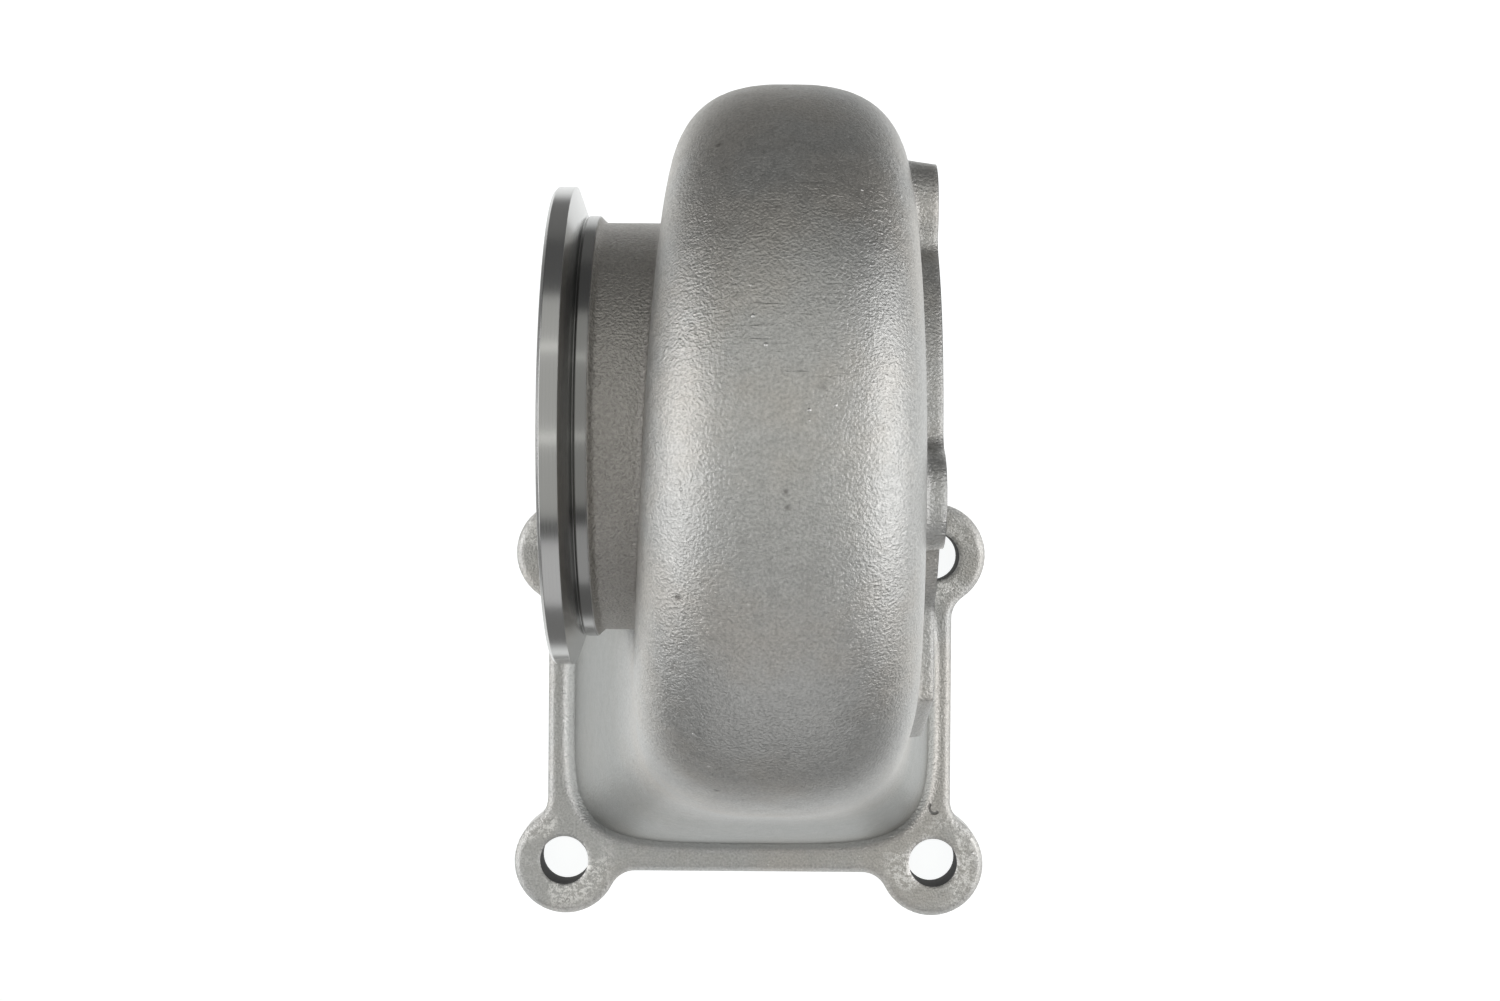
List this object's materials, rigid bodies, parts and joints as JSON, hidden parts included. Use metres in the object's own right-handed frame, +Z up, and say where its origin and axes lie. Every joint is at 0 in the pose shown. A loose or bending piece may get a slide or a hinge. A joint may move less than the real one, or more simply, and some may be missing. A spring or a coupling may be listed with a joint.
{
  "type": "turbocharger turbine housing",
  "caption": "Turbine housing of a turbocharger: twin passage scroll on a bolted inlet foot, with a clamp ring outlet and a flanged bearing side.",
  "frame": {"origin": "centre of the inlet foot's bolt pattern, on its mating face", "axes": "+Z up from the mating face, +X along the turbine axis towards the bearing side, +Y from the inlet towards the turbine axis"},
  "size_m": [0.1068, 0.1737, 0.1553],
  "materials": {
    "cast_stainless": "blasted investment casting, turned at the outlet ring, bores and faces"
  },
  "bodies": {
    "root": {"turbine_housing": "cast_stainless"}
  },
  "joints": []
}
